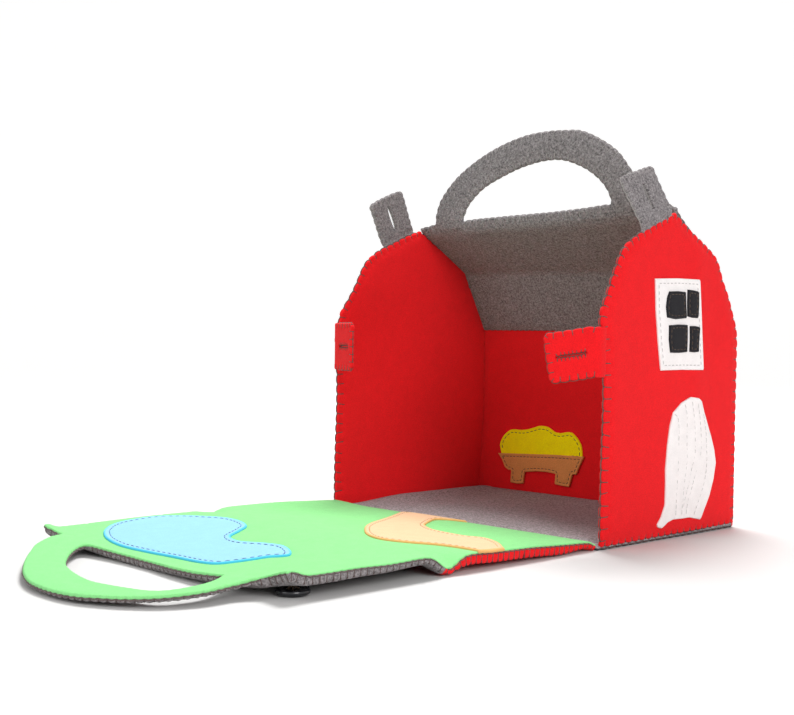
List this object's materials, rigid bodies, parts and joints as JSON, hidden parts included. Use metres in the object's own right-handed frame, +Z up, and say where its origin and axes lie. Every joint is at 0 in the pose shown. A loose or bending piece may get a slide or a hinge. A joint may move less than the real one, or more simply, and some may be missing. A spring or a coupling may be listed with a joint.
{
  "type": "felt toy barn with fold-down front",
  "caption": "Sewn felt play barn whose front folds down into a play mat and folds shut into a carrying tote with handles and button tabs.",
  "frame": {"origin": "centre of the flat underside of the floor", "axes": "+Z up, X along the ridge, -Y to the open front, where the front flap lies as a play mat"},
  "size_m": [0.2087, 0.4006, 0.2373],
  "materials": {
    "red_felt": "matte",
    "grey_felt": "matte",
    "dark_grey_felt": "matte",
    "green_felt": "matte",
    "blue_felt": "matte",
    "tan_felt": "matte",
    "yellow_felt": "matte",
    "brown_felt": "matte",
    "white_felt": "matte",
    "black_felt": "matte",
    "navy_button": "gloss",
    "black_button": "gloss",
    "stiffener_board": "matte"
  },
  "bodies": {
    "barn_box": {"floor_base": "dark_grey_felt", "floor_stiffener": "stiffener_board", "floor_lining": "grey_felt", "left_end_outer": "red_felt", "left_end_stiffener": "stiffener_board", "left_end_lining": "red_felt", "right_end_outer": "red_felt", "right_end_stiffener": "stiffener_board", "right_end_lining": "red_felt", "back_wall_outer": "red_felt", "back_wall_stiffener": "stiffener_board", "back_wall_lining": "red_felt", "back_roof_outer": "grey_felt", "back_roof_lining": "grey_felt", "back_roof_lower_stiffener": "stiffener_board", "back_roof_upper_stiffener": "stiffener_board", "window_frame": "white_felt", "window_pane_1": "black_felt", "window_pane_2": "black_felt", "window_pane_3": "black_felt", "window_pane_4": "black_felt", "barn_door": "white_felt", "hay_pile": "yellow_felt", "manger": "brown_felt"},
    "front_wall": {"front_wall_outer": "red_felt", "front_wall_stiffener": "stiffener_board", "front_wall_lining": "green_felt", "path": "tan_felt", "left_wall_button": "navy_button", "right_wall_button": "navy_button"},
    "front_roof_lower": {"front_roof_lower_outer": "grey_felt", "front_roof_lower_stiffener": "stiffener_board", "front_roof_lower_lining": "green_felt", "pond_lower": "blue_felt"},
    "front_roof_upper": {"front_roof_upper_outer": "grey_felt", "front_roof_upper_stiffener": "stiffener_board", "front_roof_upper_lining": "green_felt", "pond_upper": "blue_felt", "left_roof_button": "black_button", "right_roof_button": "black_button"},
    "front_handle": {"front_handle_outer": "grey_felt", "front_handle_core": "stiffener_board", "front_handle_lining": "green_felt"},
    "back_handle": {"back_handle_outer": "grey_felt", "back_handle_core": "stiffener_board", "back_handle_lining": "grey_felt"},
    "left_wall_tab": {"left_wall_tab_outer": "red_felt", "left_wall_tab_lining": "red_felt"},
    "left_roof_tab": {"left_roof_tab_outer": "grey_felt", "left_roof_tab_lining": "grey_felt"},
    "right_wall_tab": {"right_wall_tab_outer": "red_felt", "right_wall_tab_lining": "red_felt"},
    "right_roof_tab": {"right_roof_tab_outer": "grey_felt", "right_roof_tab_lining": "grey_felt"}
  },
  "joints": [
    {"name": "front_wall_fold", "type": "hinge", "parent": "barn_box", "child": "front_wall", "pos_m": [0, -0.0653, 0.0045], "axis": [-1, 0, 0], "range_deg": [0, 86.89]},
    {"name": "eave_fold", "type": "hinge", "parent": "front_wall", "child": "front_roof_lower", "pos_m": [0, -0.1777, 0.01062], "axis": [-1, 0, 0], "range_deg": [0, 29.3]},
    {"name": "knee_fold", "type": "hinge", "parent": "front_roof_lower", "child": "front_roof_upper", "pos_m": [0, -0.22341, 0.01029], "axis": [-1, 0, 0], "range_deg": [0, 38.78]},
    {"name": "front_handle_fold", "type": "hinge", "parent": "front_roof_upper", "child": "front_handle", "pos_m": [0, -0.2705, 0.00545], "axis": [1, 0, 0], "range_deg": [-4.79, 59.77]},
    {"name": "back_handle_fold", "type": "hinge", "parent": "barn_box", "child": "back_handle", "pos_m": [0, 0.0048, 0.18268], "axis": [1, 0, 0], "range_deg": [-114, 0]},
    {"name": "left_wall_tab_fold", "type": "hinge", "parent": "barn_box", "child": "left_wall_tab", "pos_m": [-0.1019, -0.07145, 0.1035], "axis": [0, 0, 1], "range_deg": [-165, 20]},
    {"name": "left_roof_tab_fold", "type": "hinge", "parent": "barn_box", "child": "left_roof_tab", "pos_m": [-0.1019, -0.01857, 0.17781], "axis": [0, 0.903, 0.4295], "range_deg": [-90, 90]},
    {"name": "right_wall_tab_fold", "type": "hinge", "parent": "barn_box", "child": "right_wall_tab", "pos_m": [0.1019, -0.07145, 0.1035], "axis": [0, 0, -1], "range_deg": [-165, 20]},
    {"name": "right_roof_tab_fold", "type": "hinge", "parent": "barn_box", "child": "right_roof_tab", "pos_m": [0.1019, -0.01857, 0.17781], "axis": [0, -0.903, -0.4295], "range_deg": [-90, 90]}
  ]
}
